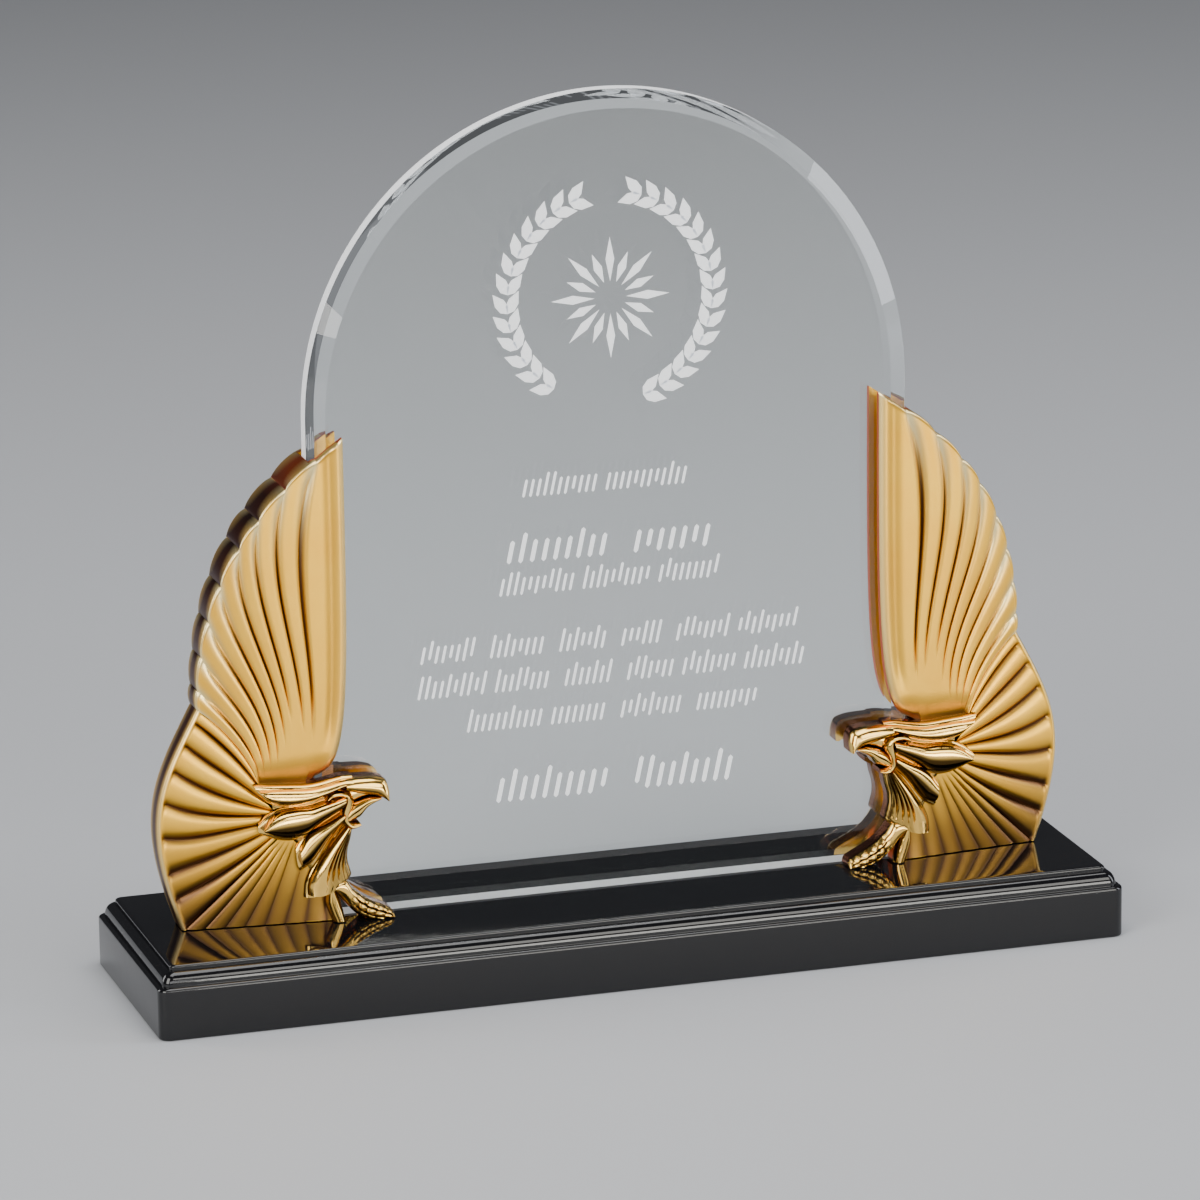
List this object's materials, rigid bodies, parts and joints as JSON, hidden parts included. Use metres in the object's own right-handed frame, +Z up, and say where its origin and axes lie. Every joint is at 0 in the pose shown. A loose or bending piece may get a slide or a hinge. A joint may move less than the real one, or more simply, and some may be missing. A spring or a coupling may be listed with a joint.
{
  "type": "award trophy",
  "caption": "Clear bevelled plate with a round-arched top on a black block base, gripped at its two sides by gold cast eagles with tall fan-shaped wings; stands on its underside.",
  "frame": {"origin": "middle of the base's underside", "axes": "+X along the base to the viewer's right, +Y from the front to the back, +Z up"},
  "size_m": [0.28, 0.074, 0.2465],
  "materials": {
    "lacquer": "black piano lacquer, high gloss",
    "glass": "clear, polished bevels, ground foot",
    "gold": "gold plate, satin wings, polished head and rims"
  },
  "bodies": {
    "root": {"base": "lacquer", "arch_plate": "glass", "eagle_left": "gold", "eagle_right": "gold"}
  },
  "joints": []
}
